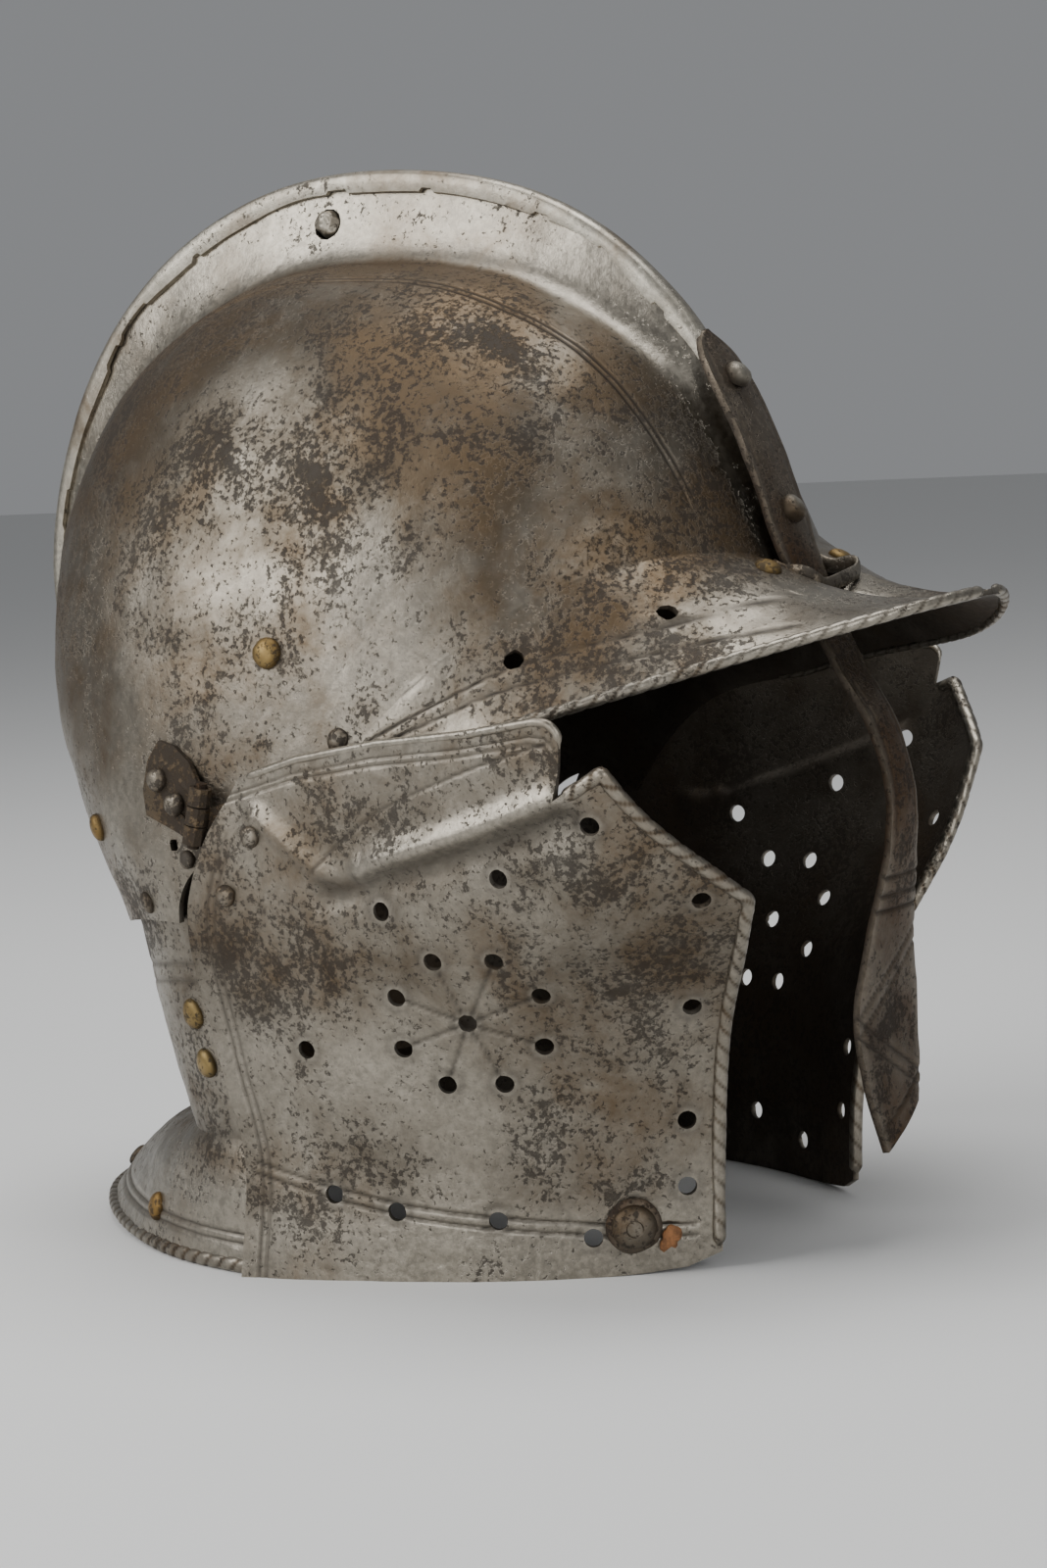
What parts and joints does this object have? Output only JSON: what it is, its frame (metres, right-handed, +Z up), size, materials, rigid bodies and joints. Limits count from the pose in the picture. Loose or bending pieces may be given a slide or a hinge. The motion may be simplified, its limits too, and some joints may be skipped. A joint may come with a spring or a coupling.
{
  "type": "burgonet helmet",
  "caption": "Open steel helmet with a high comb, pointed peak, nasal bar, flared neck guard and hinged cheekpieces pierced with breathing holes.",
  "frame": {"origin": "on the surface that the helmet stands on, midway between its sides and 6 mm in front of the line from ear to ear", "axes": "+Z up, -Y the way the face looks, -X the wearer's right"},
  "size_m": [0.2034, 0.2927, 0.2825],
  "materials": {
    "worn_steel": "old pitted steel, rubbed bright with brown patina",
    "dark_steel": "dark forged iron",
    "brass_caps": "dull brass",
    "leather_rest": "dry orange brown leather"
  },
  "bodies": {
    "helmet": {"skull_right": "worn_steel", "skull_left": "worn_steel", "neck_guard": "worn_steel", "brow_rivet_right": "worn_steel", "brow_rivet_left": "worn_steel", "nape_rivet_right": "worn_steel", "nape_rivet_left": "worn_steel", "ear_rivet_right": "worn_steel", "ear_rivet_left": "worn_steel", "guard_rivet_back_right": "worn_steel", "guard_rivet_back_left": "worn_steel", "leaf_rivet_1_right": "worn_steel", "leaf_rivet_1_left": "worn_steel", "leaf_rivet_2_right": "worn_steel", "leaf_rivet_2_left": "worn_steel", "bar_rivet_lower": "worn_steel", "bar_rivet_upper": "worn_steel", "comb_plug": "dark_steel", "nasal_bar": "dark_steel", "skull_leaf_right": "dark_steel", "skull_leaf_left": "dark_steel", "hinge_pin_right": "dark_steel", "hinge_pin_left": "dark_steel", "lining_rivet_side_right": "brass_caps", "lining_rivet_side_left": "brass_caps", "lining_rivet_brow_right": "brass_caps", "lining_rivet_brow_left": "brass_caps", "lining_rivet_nape_right": "brass_caps", "lining_rivet_nape_left": "brass_caps", "lining_rivet_neck_upper_right": "brass_caps", "lining_rivet_neck_upper_left": "brass_caps", "lining_rivet_neck_lower_right": "brass_caps", "lining_rivet_neck_lower_left": "brass_caps", "guard_rivet_side_right": "brass_caps", "guard_rivet_side_left": "brass_caps"},
    "cheekpiece_right": {"cheek_right": "worn_steel", "cheek_leaf_right": "dark_steel", "cheek_rivet_1_right": "worn_steel", "cheek_rivet_2_right": "worn_steel", "chin_stud": "worn_steel", "chin_washer": "dark_steel", "leather_scrap": "leather_rest"},
    "cheekpiece_left": {"cheek_left": "worn_steel", "cheek_leaf_left": "dark_steel", "cheek_rivet_1_left": "worn_steel", "cheek_rivet_2_left": "worn_steel"}
  },
  "joints": [
    {"name": "cheek_hinge_right", "type": "hinge", "parent": "helmet", "child": "cheekpiece_right", "pos_m": [-0.0938, 0.0135, 0.12], "axis": [0, 0.2425, -0.9701], "range_deg": [0, 40]},
    {"name": "cheek_hinge_left", "type": "hinge", "parent": "helmet", "child": "cheekpiece_left", "pos_m": [0.0938, 0.0135, 0.12], "axis": [0, -0.2425, 0.9701], "range_deg": [0, 40]}
  ]
}
